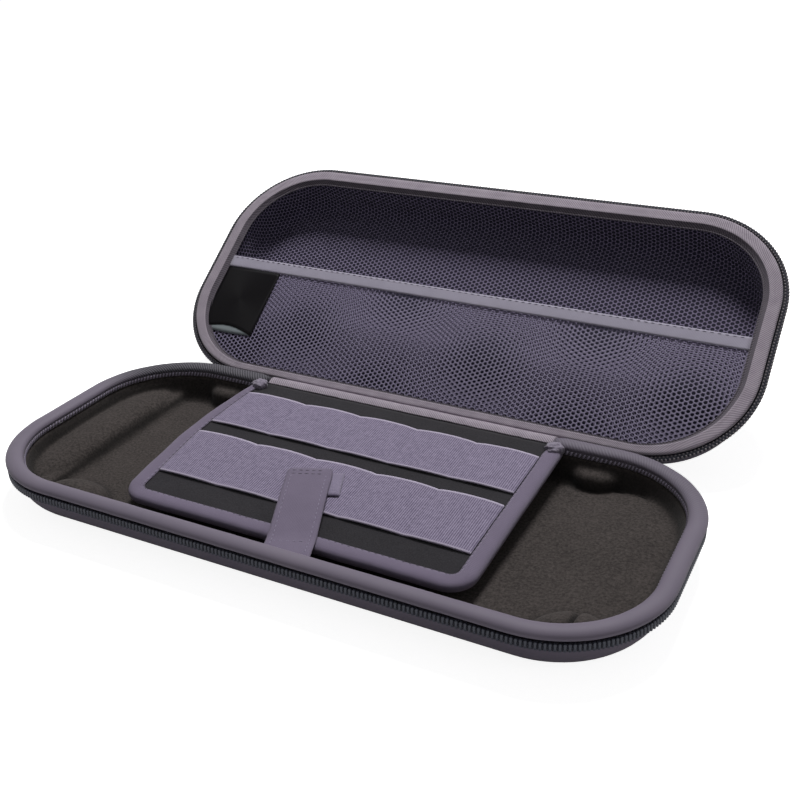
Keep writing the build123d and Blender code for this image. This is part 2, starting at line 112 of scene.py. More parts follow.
# %% Draw a section out straight, then bend it along a route
def drawn_out(section, start, end, step, closed=True):
    """A section of (inset, height) drawn out along x, with its cloth map in millimetres."""
    bm = bmesh.new()
    corners = [bm.verts.new((start, inset, height)) for inset, height in section]
    pairs = list(zip(corners, corners[1:]))
    if closed:
        pairs.append((corners[-1], corners[0]))
    edges = [bm.edges.new(pair) for pair in pairs]
    girth = [0.0]
    for first, second in pairs:
        girth.append(girth[-1] + (first.co - second.co).length)
    where = {(round(v.co.y, 3), round(v.co.z, 3)): g for v, g in zip(corners, girth)}
    count = max(1, round((end - start) / step))
    stride = ((end - start) / count, 0, 0)
    bmesh.ops.spin(
        bm, geom=corners + edges, cent=(0, 0, 0), axis=(1, 0, 0), dvec=stride, angle=0,
        steps=count, use_duplicate=False,
    )
    cloth = bm.loops.layers.uv.new("cloth")
    for face in bm.faces:
        spots = [where[(round(l.vert.co.y, 3), round(l.vert.co.z, 3))] for l in face.loops]
        turn = max(spots) - min(spots) > girth[-1] / 2
        for loop, spot in zip(face.loops, spots):
            if turn and spot < girth[-1] / 2:
                spot += girth[-1]
            loop[cloth].uv = (loop.vert.co.x, spot)
    return bm


def points(bm):
    """The places of all corners. A change to one of them moves its corner."""
    return [vert.co for vert in bm.verts]


def bend(bm, place):
    """Bend a straight piece: its x is the distance along the route, and its y the inset."""
    for co in points(bm):
        at = place(co.x, co.y)
        co.x = at.x
        co.y = at.y


def repeat(bm, count, along=0, aside=0):
    """Copy what a bmesh holds, so that there are count of it along x or aside in y."""
    bmesh.ops.spin(
        bm, geom=bm.verts[:] + bm.edges[:] + bm.faces[:], cent=(0, 0, 0), axis=(1, 0, 0),
        dvec=(along, aside, 0), angle=0, steps=count - 1, use_duplicate=True,
    )


def cap_ends(bm):
    """Close the open ends of a drawn-out section."""
    bmesh.ops.holes_fill(bm, edges=[e for e in bm.edges if e.is_boundary], sides=0)


def close_ring(bm):
    """Bend a full turn of the rim, and join its ends where they meet."""
    bend(bm, rim)
    bmesh.ops.remove_doubles(bm, verts=bm.verts, dist=0.01)


def soften(bm, along_x=True):
    """One round of smoothing, which may leave x alone."""
    bmesh.ops.smooth_vert(
        bm, verts=bm.verts, factor=0.5, use_axis_x=along_x, use_axis_y=True, use_axis_z=True
    )


def ripple(x, y, seed):
    """Slow noise, between about -1 and 1 and the same on every run."""
    return noise.noise(Vector((x, y, seed)))


def share(value):
    """A number kept between 0 and 1."""
    return min(1, max(0, value))


# %% Turn a bmesh into a finished piece
def show(name, data):
    """An object with that name and data, in the scene."""
    obj = bpy.data.objects.new(name, data)
    bpy.context.scene.collection.objects.link(obj)
    return obj


def piece(bm, name, mat, body, at=None, stands_for=(), outward=True):
    """Place a bmesh, make it metres, and hand it to the frame on its body."""
    if at is None:
        at = OPENED if body == "lid_half" else SHUT
    if outward:
        bmesh.ops.recalc_face_normals(bm, faces=bm.faces)
    bmesh.ops.transform(bm, matrix=at, verts=bm.verts)
    bmesh.ops.scale(bm, vec=(MM, MM, MM), verts=bm.verts)
    mesh = bpy.data.meshes.new(name)
    bm.to_mesh(mesh)
    bm.free()
    mesh.shade_smooth()
    mesh.materials.append(mat)
    obj = show(name, mesh)
    if body:
        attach(obj, body)
    if stands_for:
        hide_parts(*stands_for)
    print(name, "faces:", len(mesh.polygons))
    return obj


# %% [markdown]
# ## Finishes
# Every finish is made of shader nodes. One function adds a node, sets it and links it, so a
# recipe reads from top to bottom. Colours are written as the hex codes of a paint chart and
# turned to the linear values that the renderer counts in.

# %% Colour and node helpers
def colour(code):
    parts = [int(code[i : i + 2], 16) / 255 for i in (0, 2, 4)]
    linear = [c / 12.92 if c <= 0.04045 else ((c + 0.055) / 1.055) ** 2.4 for c in parts]
    return linear + [1.0]


def new_finish(name):
    mat = bpy.data.materials.new(name)
    mat.use_nodes = True
    mat.node_tree.nodes.clear()
    return mat


def add(mat, kind, inputs=(), **settings):
    """Add a node, set it, and fill its inputs, by name or in order, with values or nodes."""
    node = mat.node_tree.nodes.new("ShaderNode" + kind)
    for key, value in settings.items():
        setattr(node, key, value)
    for key, value in inputs.items() if isinstance(inputs, dict) else enumerate(inputs):
        if isinstance(value, bpy.types.Node):
            value = value.outputs[0]
        if isinstance(value, bpy.types.NodeSocket):
            mat.node_tree.links.new(value, node.inputs[key])
        else:
            node.inputs[key].default_value = value
    return node


def grain(mat, mm, detail, roughness=0.5):
    """Noise that stays with the piece, in lumps of that many millimetres."""
    spot = add(mat, "TexCoord").outputs["Object"]
    inputs = {"Vector": spot, "Scale": 1 / (mm * MM), "Detail": detail, "Roughness": roughness}
    return add(mat, "TexNoise", inputs)


def cloth_map(mat):
    """How far along and how far across its cloth a point lies, in millimetres."""
    cloth = add(mat, "UVMap", uv_map="cloth")
    return add(mat, "SeparateXYZ", [cloth]).outputs[:2]


def ribs(mat, value, pitch):
    """From 0 in a groove to 1 on a rib, every pitch units of the value."""
    turn = 2 * math.pi / pitch
    turns = add(mat, "Math", [value, turn], operation="MULTIPLY")
    wave = add(mat, "Math", [turns], operation="SINE")
    return add(mat, "Math", [wave, 0.5, 0.5], operation="MULTIPLY_ADD")


def blended(mat, factor, dark, light):
    """A colour between two others, each a hex code or a socket, by a factor."""
    dark, light = [colour(c) if isinstance(c, str) else c for c in (dark, light)]
    mix = add(mat, "Mix", {0: factor, 6: dark, 7: light}, data_type="RGBA")
    return mix.outputs[2]


def surface(mat, base, height, depth, fixed, strength=1.0):
    """Close a recipe: relief in mm, and the numbers set on the shader's own sockets."""
    relief = {"Height": height, "Distance": depth * MM, "Strength": strength}
    bump = add(mat, "Bump", relief)
    shader = add(mat, "BsdfPrincipled", {"Base Color": base, "Normal": bump})
    for name, value in fixed.items():
        shader.inputs[name].default_value = value
    add(mat, "OutputMaterial", {"Surface": shader})
    return mat


def cloth_finish(mat, base, height, depth, roughness=0.85, sheen=0.15):
    """Cloth is rough, with a little sheen from the fibres that stand up."""
    fixed = {"Roughness": roughness, "Sheen Weight": sheen, "Sheen Roughness": 0.5}
    return surface(mat, base, height, depth, fixed | {"Specular IOR Level": 0.2})


# %% [markdown]
# ### Smooth cover
# The shells and the roll are foam under a thin synthetic leather, dull and even. Grain this
# fine could be left out, but a faint mottling keeps the big faces from looking like paint.

# %% Smooth synthetic leather over foam
LEATHER = ("67606F", "766E7B")
LEATHER_PATCH = 22


def leather_over_foam():
    # Dull polyurethane skin: soft highlights, grain about half a millimetre across
    mat = new_finish("synthetic_leather_smooth")
    base = blended(mat, grain(mat, LEATHER_PATCH, 2.0), *LEATHER)
    height = grain(mat, 0.55, 3.0)
    return cloth_finish(mat, base, height, 0.035, roughness=0.58, sheen=0.08)


def roll_cover():
    # The same skin, but towards the hinge it is covered with a darker ribbed tape
    mat = new_finish("synthetic_leather_with_ribbed_tape")
    along, across = cloth_map(mat)
    lean = [across, 0.7, along]
    rib = ribs(mat, add(mat, "Math", lean, operation="MULTIPLY_ADD"), 1.3)
    rear = add(mat, "Attribute", attribute_name="rear").outputs["Fac"]
    skin = blended(mat, grain(mat, LEATHER_PATCH, 2.0), *LEATHER)
    tape = blended(mat, rib, "2B2A31", "5E5B63")
    base = blended(mat, rear, skin, tape)
    height = add(mat, "Math", [rib, rear], operation="MULTIPLY")
    return cloth_finish(mat, base, height, 0.2, roughness=0.6, sheen=0.08)


smooth_cover = leather_over_foam()
roll_cloth = roll_cover()

# %% [markdown]
# ### Twill tape
# Bindings and hinge cloth are twill: each thread steps one place aside in the next row, which
# draws fine ridges on the slant. The slant follows the tape round the corners, so it is worked
# out from the tape's cloth map and not from its place in space.

# %% Twill tape, worked out on the cloth map
def twill(name, dark, light, pitch):
    # Polyester twill: slanted ridges about 1 mm apart, and a finer pick across them
    mat = new_finish(name)
    along, across = cloth_map(mat)
    slant = add(mat, "Math", [along, across], operation="ADD")
    ridge = ribs(mat, slant, pitch)
    pick = ribs(mat, across, pitch * 0.45)
    height = add(mat, "Math", [ridge, 0.75], operation="MULTIPLY")
    height = add(mat, "Math", [pick, 0.25, height], operation="MULTIPLY_ADD")
    wear = add(mat, "Math", [grain(mat, 6, 4.0), 0.5, -0.25], operation="MULTIPLY_ADD")
    factor = add(mat, "Math", [height, wear], operation="ADD", use_clamp=True)
    base = blended(mat, factor, dark, light)
    return cloth_finish(mat, base, height, 0.12, roughness=0.8)


twill_binding = twill("polyester_twill_pale", "6F6672", "B5ABB6", 1.1)
# A darker copy of the same twill: painted shade for the slope of the lid's binding and its piping
twill_shaded_copy = twill("polyester_twill_painted_shade", "2F2B33", "6E6670", 1.3)
overcast_band = twill("raw_edge_twill", "3B3740", "777079", 0.9)
zip_tape = twill("zip_tape_woven_dark", "14151C", "2A2B36", 0.9)
pocket_weave = twill("elastic_tape_fine", "938E9E", "ACA7B7", 0.8)
strap_cover = twill("strap_cloth_fine", "6C6377", "7C7287", 0.6)

# %% [markdown]
# ### Ribbed elastic
# The card bands are woven elastic. Rubber threads run along the band and draw the weave into
# fine ribs across it; the two selvedges, where the weft turns back, catch more light, and that
# highlight is painted on as a paler colour.

# %% Ribbed elastic with a painted highlight on its selvedges
def ribbed_elastic():
    # Woven polyester over rubber: ribs 0.85 mm apart, about as coarse as the real ones
    mat = new_finish("ribbed_elastic_lavender")
    along, across = cloth_map(mat)
    rib = ribs(mat, along, 0.85)
    lean = [along, 0.6, across]
    weft = ribs(mat, add(mat, "Math", lean, operation="MULTIPLY_ADD"), 0.6)
    height = add(mat, "Math", [weft, 0.45, rib], operation="MULTIPLY_ADD")
    fleck = add(mat, "Math", [grain(mat, 1.6, 3.0), 0.8, -0.45], operation="MULTIPLY_ADD")
    factor = add(mat, "Math", [height, 0.75, fleck], operation="MULTIPLY_ADD", use_clamp=True)
    body = blended(mat, factor, "544C63", "9B91A9")
    edge = add(mat, "Attribute", attribute_name="edge").outputs["Fac"]
    # Painted highlight: within about a millimetre of either selvedge the colour turns paler
    near = add(mat, "MapRange", [edge, 0.5, 1.1, 1.0, 0.0])
    base = blended(mat, near, body, "B1A8BC")
    return cloth_finish(mat, base, height, 0.07)


band_elastic = ribbed_elastic()

# %% [markdown]
# ### Felt and fleece
# The flap is pressed felt and the tray is foam under short fleece. Neither has a weave, so a
# fine noise stands for the fibres and a wider one for where the nap has been stroked. On steep
# walls and in creases an attribute paints shade, darkening the colour towards near-black.

# %% Felt, fleece and pile
def napped(name, dark, light, fibre, patch, depth, sheen):
    # Masses of fibres. fibre and patch are the sizes of their tufts and strokes, in mm
    mat = new_finish(name)
    fibres = grain(mat, fibre, 5.0, roughness=0.7)
    sharp = add(mat, "MapRange", [fibres, 0.35, 0.65, 0.0, 0.75])
    factor = [grain(mat, patch, 3.0), 0.45, sharp]
    factor = add(mat, "Math", factor, operation="MULTIPLY_ADD", use_clamp=True)
    nap = blended(mat, factor, dark, light)
    # Painted shade: an attribute darkens the nap towards near-black on steep walls and in creases
    painted_shade = add(mat, "Attribute", attribute_name="painted_shade").outputs["Fac"]
    base = blended(mat, painted_shade, nap, "0B0A0A")
    return cloth_finish(mat, base, fibres, depth, roughness=0.95, sheen=sheen)


# Short grey fleece: its fibres stand in tufts about a millimetre across
tray_fleece = napped("short_fleece_charcoal", "1A1716", "4B4543", 1.0, 14, 0.2, 0.04)
# Pressed felt: denser and flatter than the fleece
flap_felt = napped("pressed_felt_charcoal", "19181B", "312F33", 0.5, 9, 0.08, 0.05)
# Twill that has come apart into loose threads
frayed_cloth = napped("frayed_cloth_lavender", "5F5868", "9A92A2", 0.9, 4, 0.3, 0.3)
# The loop half of a hook-and-loop fastener
loop_pile = napped("loop_pile_lavender", "6E667B", "8D849B", 0.5, 5, 0.15, 0.4)

# %% [markdown]
# ### Net and mesh-faced lining
# The pocket is a knitted net whose six-sided holes must be real, so that the lining shows
# through them at the right depth. The lining behind is faced with the same knit, and there a
# drawn pattern is enough.

# %% Nylon thread, and the pattern of six-sided cells
NET_PITCH = 2.1
ROW_PITCH = NET_PITCH * math.sqrt(3)


def nylon(name, dark, light, roughness):
    # Nylon thread or moulded nylon: hard, with a soft gleam
    mat = new_finish(name)
    specks = grain(mat, 0.8, 2.0)
    base = blended(mat, specks, dark, light)
    return surface(mat, base, specks, 0.03, {"Roughness": roughness, "IOR": 1.53})


net_thread = nylon("nylon_net_thread", "49425A", "756D87", 0.65)
zip_nylon = nylon("nylon_zip_coil", "3A3D49", "4D505D", 0.4)
lid_zip_nylon = nylon("nylon_zip_coil_dark", "4A4248", "6A6267", 0.4)
pale_thread = nylon("sewing_thread_pale", "8F879B", "A49CB0", 0.6)
lilac_thread = nylon("sewing_thread_lilac", "7D7589", "8B8397", 0.6)
dark_thread = nylon("sewing_thread_dark", "453F4E", "5B5566", 0.6)


def from_nearest(mat, cloth, shift):
    """Distance from the nearest cell middle, on one of the two square lattices of the net."""
    cell = (math.sqrt(3), 1.0, 1.0)
    middle = (cell[0] / 2, 0.5, 0.0)
    spot = add(mat, "VectorMath", [cloth, shift], operation="ADD")
    spot = add(mat, "VectorMath", [spot, cell, (0.0, 0.0, 0.0)], operation="WRAP")
    spot = add(mat, "VectorMath", [spot, middle], operation="SUBTRACT")
    return add(mat, "VectorMath", [spot], operation="LENGTH").outputs["Value"]


def mesh_faced_lining():
    # Knit over dark foam: threads stand a third of a millimetre over near-black holes
    mat = new_finish("mesh_faced_lining_dark")
    cloth = {0: add(mat, "UVMap", uv_map="cloth"), "Scale": 1 / NET_PITCH}
    cloth = add(mat, "VectorMath", cloth, operation="SCALE")
    first = from_nearest(mat, cloth, (0.0, 0.0, 0.0))
    second = from_nearest(mat, cloth, (math.sqrt(3) / 2, 0.5, 0.0))
    near = add(mat, "Math", [first, second], operation="MINIMUM")
    thread = add(mat, "MapRange", [near, 0.36, 0.46, 0.0, 1.0])
    base = blended(mat, thread, "120F24", "847A96")
    return cloth_finish(mat, base, thread, 0.35, roughness=0.8, sheen=0.1)


lining_knit = mesh_faced_lining()

# %% [markdown]
# ### Satin and lacquered zinc
# The label is satin: long floats of thread make it smoother than any other cloth here. Sliders
# are zinc castings under a dark lacquer.

# %% Satin and metal
def satin(name, dark, light, roughness):
    # Acetate satin: floats run one way, so the highlight is drawn out
    mat = new_finish(name)
    floats = ribs(mat, cloth_map(mat)[1], 0.5)
    base = blended(mat, floats, dark, light)
    fixed = {"Roughness": roughness, "Anisotropic": 0.5, "Specular IOR Level": 0.06}
    return surface(mat, base, floats, 0.01, fixed, strength=0.6)


label_satin = satin("satin_black", "050406", "0B090C", 0.5)
label_back = satin("satin_reverse_grey", "6D7478", "8A9194", 0.4)


def lacquered_zinc():
    # Die-cast zinc under smoked lacquer: metal gleam, slightly orange-peeled
    mat = new_finish("zinc_smoked_lacquer")
    peel = grain(mat, 1.5, 2.0)
    base = blended(mat, peel, "3A3B42", "50525A")
    fixed = {"Metallic": 0.9, "Roughness": 0.32, "Coat Weight": 0.4}
    return surface(mat, base, peel, 0.02, fixed)


slider_metal = lacquered_zinc()

# %% [markdown]
# ## Camera, light and floor
# The camera was solved from the outline of both halves in the photograph. The light is a broad
# lamp above and a little behind the case, which leaves the front of the shell in shade, and an
# even world light fills the rest. The floor is white and keeps the case's soft shadow.

# %% Camera
camera_data = bpy.data.cameras.new("camera")
camera_data.sensor_width = 36.0
camera_data.lens = 47.88
camera_data.clip_start = 0.01
camera = show("camera", camera_data)
camera.matrix_world = Matrix(
    (
        (0.8894, -0.1876, 0.4169, 0.1806),
        (0.4565, 0.4135, -0.7878, -0.2889),
        (-0.0246, 0.8910, 0.4534, 0.2196),
        (0.0, 0.0, 0.0, 1.0),
    )
)
bpy.context.scene.camera = camera
bpy.context.scene.view_settings.view_transform = "Standard"

# %% Lamps and world
def lamp(name, place, aim, width, power):
    data = bpy.data.lights.new(name, "AREA")
    data.shape = "SQUARE"
    data.size = width
    data.energy = power
    obj = show(name, data)
    obj.location = place
    obj.rotation_euler = (Vector(aim) - Vector(place)).to_track_quat("-Z", "Y").to_euler()


lamp("lamp_above_behind", (-0.06, 0.46, 1.02), (0, 0.03, 0.03), 0.3, 10.8)
lamp("lamp_right", (1.0, -0.1, 0.55), (0, 0.03, 0.03), 0.5, 0.5)

world = bpy.data.worlds.new("studio")
bpy.context.scene.world = world
world.use_nodes = True
world.node_tree.nodes.clear()
rays = add(world, "LightPath")
seen = rays.outputs["Is Camera Ray"]
for kind in ("Is Glossy Ray", "Is Transmission Ray"):
    seen = add(world, "Math", [seen, rays.outputs[kind]], operation="MAXIMUM")
fill = add(world, "Background", {"Color": colour("FFFFFF"), "Strength": 0.14})
white = add(world, "Background", {"Color": colour("FFFFFF"), "Strength": 1.0})
mixed = add(world, "MixShader", [seen, fill, white])
add(world, "OutputWorld", {"Surface": mixed})

# %% Floor
def floor_paint():
    # Matt white paint, lifted a little for the camera so that it meets the backdrop
    mat = new_finish("floor_matt_white")
    paint = add(mat, "BsdfDiffuse", {"Color": colour("E6E6E6")})
    camera_ray = add(mat, "LightPath").outputs["Is Camera Ray"]
    lift = add(mat, "Emission", {"Color": colour("FFFFFF"), "Strength": 0.88})
    lit = add(mat, "AddShader", [paint, lift])
    mixed = add(mat, "MixShader", [camera_ray, paint, lit])
    add(mat, "OutputMaterial", {"Surface": mixed})
    return mat


bm = bmesh.new()
bmesh.ops.create_grid(bm, x_segments=1, y_segments=1, size=4.0)
bmesh.ops.translate(bm, vec=(0, 0, -0.0003), verts=bm.verts)
floor_mesh = bpy.data.meshes.new("floor")
bm.to_mesh(floor_mesh)
bm.free()
floor_mesh.materials.append(floor_paint())
floor = show("floor", floor_mesh)

# %% [markdown]
# ## Shells and sliders
# The CAD solids of the two moulded shells, the hook pad, the sliders and the pullers already
# have their shape. They only need their finish.

# %% Finish for the pieces that stay as the CAD made them
CARRIED = {
    "base_shell": smooth_cover,
    "lid_shell": smooth_cover,
    "hook_patch": zip_nylon,
    "zip_slider_left": slider_metal,
    "zip_slider_right": slider_metal,
    "zip_puller_left": slider_metal,
    "zip_puller_right": slider_metal,
}
for name, finish in CARRIED.items():
    mesh = nodes[name].data
    mesh.materials.clear()
    mesh.materials.append(finish)

# %% [markdown]
# ## The roll round the base
# The mouth of the base is finished with a padded roll, nearly 7 mm wide, in the shell's own
# cover. A bevelled curve could make it, but a drawn-out oval can also be swelled and pinched
# unevenly, as stuffing is, before it is bent round. It stops either side of the hinge cloth.

# %% Padded roll
def oval(middle, width, height, count):
    turns = [2 * math.pi * i / count for i in range(count)]
    return [
        (middle[0] + width / 2 * math.cos(a), middle[1] + height / 2 * math.sin(a)) for a in turns
    ]


ROLL_MIDDLE = (3.4, -2.2)
ROLL_START = HINGE_LENGTH / 2 + 0.4
TAPE_FROM = 16
TAPE_FADE = 24
bm = drawn_out(oval(ROLL_MIDDLE, 6.7, 4.0, 24), ROLL_START, ROUND - ROLL_START, 2.0)
for co in points(bm):
    from_end = min(co.x - ROLL_START, ROUND - ROLL_START - co.x)
    swell = 1 + 0.03 * ripple(co.x / 9, 0, 5)
    swell *= min(1, 0.72 + 0.07 * from_end)  # pinched at both ends
    co.y = ROLL_MIDDLE[0] + (co.y - ROLL_MIDDLE[0]) * swell
    co.z = ROLL_MIDDLE[1] + (co.z - ROLL_MIDDLE[1]) * swell
cap_ends(bm)
bend(bm, rim)
rear = bm.verts.layers.float.new("rear")
for vert in bm.verts:
    strength = 1.0 if vert.co.x < 0 else 0.3
    vert[rear] = strength * share((vert.co.y - TAPE_FROM) / TAPE_FADE)
roll = piece(
    bm, "rim_roll_padded", roll_cloth, "base_half", stands_for=["base_rim_roll"]
)

# %% [markdown]
# ## Raw-edged binding inside the mouth
# Under the roll, inside the mouth, a band of twill covers the seam. Its lower edge is raw and
# only overcast with thread, so it waves a little and each stitch shows as a small slanted tick.

# %% Inner binding and its overcast edge
INNER_TOP = -2.7
INNER_FOOT = -4.6
inner_section = [
    (6.5, INNER_TOP), (6.9, -3.4), (7.15, INNER_FOOT),
    (6.6, INNER_FOOT), (6.4, -3.4), (6.0, INNER_TOP),
]
bm = drawn_out(inner_section, ROLL_START, ROUND - ROLL_START, 1.5)
for co in points(bm):
    if co.z < INNER_FOOT + 0.5:
        co.z += 0.35 * ripple(co.x / 2.2, 3, 0)
cap_ends(bm)
bend(bm, rim)
piece(
    bm, "inner_binding_twill", overcast_band, "base_half",
    stands_for=["base_binding"],
)

OVERCAST_PITCH = 1.7
OVERCAST_RUN = ROUND - 2 * (ROLL_START + 1)
bm = bmesh.new()
bmesh.ops.create_uvsphere(bm, u_segments=6, v_segments=5, radius=0.5)
bmesh.ops.scale(bm, vec=(0.8, 0.5, 2.1), verts=bm.verts)
slant = Matrix.Rotation(math.radians(25), 3, "Y")
bmesh.ops.rotate(bm, cent=(0, 0, 0), matrix=slant, verts=bm.verts)
bmesh.ops.translate(bm, vec=(ROLL_START + 1, 7.0, INNER_FOOT + 0.85), verts=bm.verts)
repeat(bm, int(OVERCAST_RUN / OVERCAST_PITCH), along=OVERCAST_PITCH)
bend(bm, rim)
piece(bm, "inner_binding_overcast", pale_thread, "base_half")

# %% [markdown]
# ## Zip
# A nylon zip has two tapes, each with a coil along its edge. A coil is one wire wound flat, and
# seen from outside each turn is a small rounded rib. One rib is made from a cube with its
# edges bevelled, copied along a straight line at 1.47 mm, and bent round the rim.

# %% Zip tapes and coils
COIL_PITCH = 1.47
ZIP_START = 82.1


def coil_row(rib, inset, height, waist, ahead=0.0):
    """Ribs round the rim. rib is the thickness along the zip, the reach and the height of one."""
    bm = bmesh.new()
    bmesh.ops.create_cube(bm, size=1.0)
    bmesh.ops.scale(bm, vec=rib, verts=bm.verts)
    bmesh.ops.bevel(
        bm, geom=bm.edges, offset=waist, offset_type="OFFSET", segments=1, profile=0.5,
        affect="EDGES", material=-1,
    )
    bmesh.ops.translate(bm, vec=(ZIP_START + 1 + ahead, inset, height), verts=bm.verts)
    repeat(bm, int((ROUND - 2 * ZIP_START - 1) / COIL_PITCH), along=COIL_PITCH)
    bend(bm, rim)
    return bm


def zip_length(section):
    """A section drawn out along the zip, with its ends closed, and bent round the rim."""
    bm = drawn_out(section, ZIP_START, ROUND - ZIP_START, 2.5)
    cap_ends(bm)
    bend(bm, rim)
    return bm


def flat_section(outer, inner, low, high):
    """A tape seen end on, with its outer edge rounded off."""
    slope = outer + 0.3
    return [(outer, (low + high) / 2), (slope, high), (inner, high), (inner, low), (slope, low)]


bm = zip_length(flat_section(1.85, 4.2, -5.0, -4.4))
piece(bm, "base_zip_tape_woven", zip_tape, "base_half", stands_for=["base_zip_tape"])
bm = coil_row((1.0, 1.45, 2.9), 0.95, -5.85, 0.3)
piece(bm, "base_coil_ribs", zip_nylon, "base_half", stands_for=["base_zip_coil"])

bm = zip_length(flat_section(-0.95, 3.4, 2.35, 2.95))
piece(bm, "lid_zip_tape_woven", zip_tape, "lid_half", stands_for=["lid_zip_tape"])
bm = coil_row((0.9, 1.0, 1.1), -2.0, 2.1, 0.28)
piece(bm, "lid_coil_ribs", lid_zip_nylon, "lid_half", stands_for=["lid_zip_coil"])

# %% [markdown]
# ## Cores behind the coils
# Between the ribs of a coil a filler cord shows as a dark line. It is a thin drawn-out oval
# behind the ribs. The lid's coil also shows the stitches that hold it to its tape, one between
# each two ribs, so they are a smaller row of the same kind, half a pitch ahead.

# %% Filler cords, and the stitches of the lid's coil
bm = zip_length(oval((0.98, -5.85), 1.25, 2.7, 12))
piece(bm, "base_coil_core", zip_tape, "base_half")
bm = zip_length(oval((-1.4, 2.2), 2.0, 1.45, 12))
piece(bm, "lid_coil_core", zip_tape, "lid_half")
bm = coil_row((0.7, 0.8, 0.7), -0.9, 1.7, 0.2, ahead=COIL_PITCH / 2)
piece(bm, "lid_coil_stitches", lid_zip_nylon, "lid_half")

# %% [markdown]
# ## Binding round the lid
# The lid's mouth is bound with pale twill: a flat face, then a slope down to the net, ended by
# a thin piped edge. Its section is drawn once and carried all the way round, and drawn narrower
# along the hinge, where the real binding is pulled in. The slope and the piped edge wear a darker
# copy of the twill, which is painted shade.

# %% Lid binding and its piped edge
lid_section = [
    (0.15, 2.15), (0.0, 1.2), (0.25, 0.45), (0.9, 0.18), (2.6, 0.25), (4.1, 0.3), (4.7, 0.16),
    (5.2, 0.35), (5.7, 1.0), (6.3, 1.6), (7.35, 2.0), (7.3, 2.18), (3.5, 2.2),
]


HINGE_NARROWING = 0.38
TAPER_RUN = 50
SLOPE_FROM = 5.0


def narrowed(distance):
    """Width of the binding: 1 round the front of the lid, and less along the hinge."""
    off = min(distance, ROUND - distance) - SIDE
    return 1 - HINGE_NARROWING * share(1 - off / TAPER_RUN)


bm = drawn_out(lid_section, 0, ROUND, 1.6)
for co in points(bm):
    if 0.5 < co.y < 6.5 and co.z < 1.5:
        pucker = ripple(co.x / 7, co.y / 3, 8)
        co.z = co.z + 0.09 * pucker + 0.05
    co.y *= narrowed(co.x)
# Faces on the slope take the second material, a darker copy of the twill that paints the shade
# there
for face in bm.faces:
    middle = face.calc_center_median()
    sloping = middle.y > SLOPE_FROM * narrowed(middle.x) and middle.z < 2.1
    face.material_index = int(sloping)
close_ring(bm)
lid_binding = piece(
    bm, "lid_binding_twill", twill_binding, "lid_half",
    stands_for=["lid_binding"],
)
lid_binding.data.materials.append(twill_shaded_copy)
# The piped edge takes the same darker copy of the twill: painted shade
bm = drawn_out(oval((7.3, 1.95), 0.7, 0.6, 8), 0, ROUND, 2.0)
for co in points(bm):
    co.y *= narrowed(co.x)
close_ring(bm)
piece(bm, "lid_binding_piping", twill_shaded_copy, "lid_half")

# %% [markdown]
# ## Lining of the lid
# The lining is a shallow pan inside the shell: a sloping wall, a rounded corner and a flat
# floor. Its cloth map is the pan unfolded, so that the knit runs down the wall and across the
# floor without a break.

# %% Lining pan
PAN_FLOOR = 18.8
PAN_CORNER = 6.6
PAN_EDGE = 13.56
WALL_LEAN = 10.8
wall_turns = [math.radians(WALL_LEAN + (90 - WALL_LEAN) * i / 6) for i in range(7)]
pan_section = [(5.1, 3.15), (5.8, 6.8), (6.5, 10.4)]
pan_section += [
    (PAN_EDGE - PAN_CORNER * math.cos(a), PAN_FLOOR - PAN_CORNER + PAN_CORNER * math.sin(a))
    for a in wall_turns
]
bm = drawn_out(pan_section, 0, ROUND, 2.0, closed=False)
cloth = bm.loops.layers.uv["cloth"]
deepest = max(loop[cloth].uv.y for face in bm.faces for loop in face.loops)
for face in bm.faces:
    for loop in face.loops:
        along, girth = loop[cloth].uv
        loop[cloth].uv = rim(along % ROUND, PAN_EDGE - (deepest - girth))
close_ring(bm)
floor_loop = [e for e in bm.edges if e.is_boundary and e.verts[0].co.z > PAN_FLOOR - 0.1]
filled = bmesh.ops.edgeloop_fill(bm, edges=floor_loop)
for face in filled["faces"]:
    for loop in face.loops:
        loop[cloth].uv = loop.vert.co.xy
lining = piece(
    bm, "lid_lining_knit", lining_knit, "lid_half", stands_for=["lid_lining"]
)
wall = lining.modifiers.new("foam", "SOLIDIFY")
wall.thickness = 0.9 * MM
wall.offset = -1

# %% [markdown]
# ## Net over the pocket
# One cell of the net is two six-sided loops, bridged into a ring. Two such rings make the
# repeat of the pattern; they are copied along and across, their shared edges merged, and the
# sheet is trimmed to the lid. Solidify then gives the thread its thickness.

# %% Net
def net(low_y, high_y, inset, hole):
    """A flat net between two heights of the lid, inside the outline at that inset."""
    bm = bmesh.new()
    outer = NET_PITCH / math.sqrt(3)
    for x, y in ((0.0, 0.0), (NET_PITCH / 2, ROW_PITCH / 2)):
        spot = Matrix.Translation((x, y, 0))
        big = bmesh.ops.create_circle(bm, segments=6, radius=outer, matrix=spot)["verts"]
        small = bmesh.ops.create_circle(bm, segments=6, radius=outer * hole, matrix=spot)["verts"]
        ring = {e for v in big + small for e in v.link_edges}
        bmesh.ops.bridge_loops(bm, edges=list(ring))
    columns = int((high_y - low_y) / NET_PITCH) + 2
    repeat(bm, columns, along=NET_PITCH)
    repeat(bm, int(CASE_LENGTH / ROW_PITCH) + 1, aside=ROW_PITCH)
    turn = Matrix.Rotation(math.pi / 2, 3, "Z")
    bmesh.ops.rotate(bm, cent=(0, 0, 0), matrix=turn, verts=bm.verts)
    bmesh.ops.translate(bm, vec=(CASE_LENGTH / 2, low_y, 0), verts=bm.verts)
    bmesh.ops.remove_doubles(bm, verts=bm.verts, dist=0.02)
    half_x = CASE_LENGTH / 2 - inset
    half_y = CASE_WIDTH / 2 - inset
    radius = CORNER_RADIUS - inset
    outside = []
    for vert in bm.verts:
        over_x = max(abs(vert.co.x) - (half_x - radius), 0)
        over_y = max(abs(vert.co.y) - (half_y - radius), 0)
        if math.hypot(over_x, over_y) > radius or not low_y <= vert.co.y <= high_y:
            outside.append(vert)
    bmesh.ops.delete(bm, geom=outside, context="VERTS")
    return bm


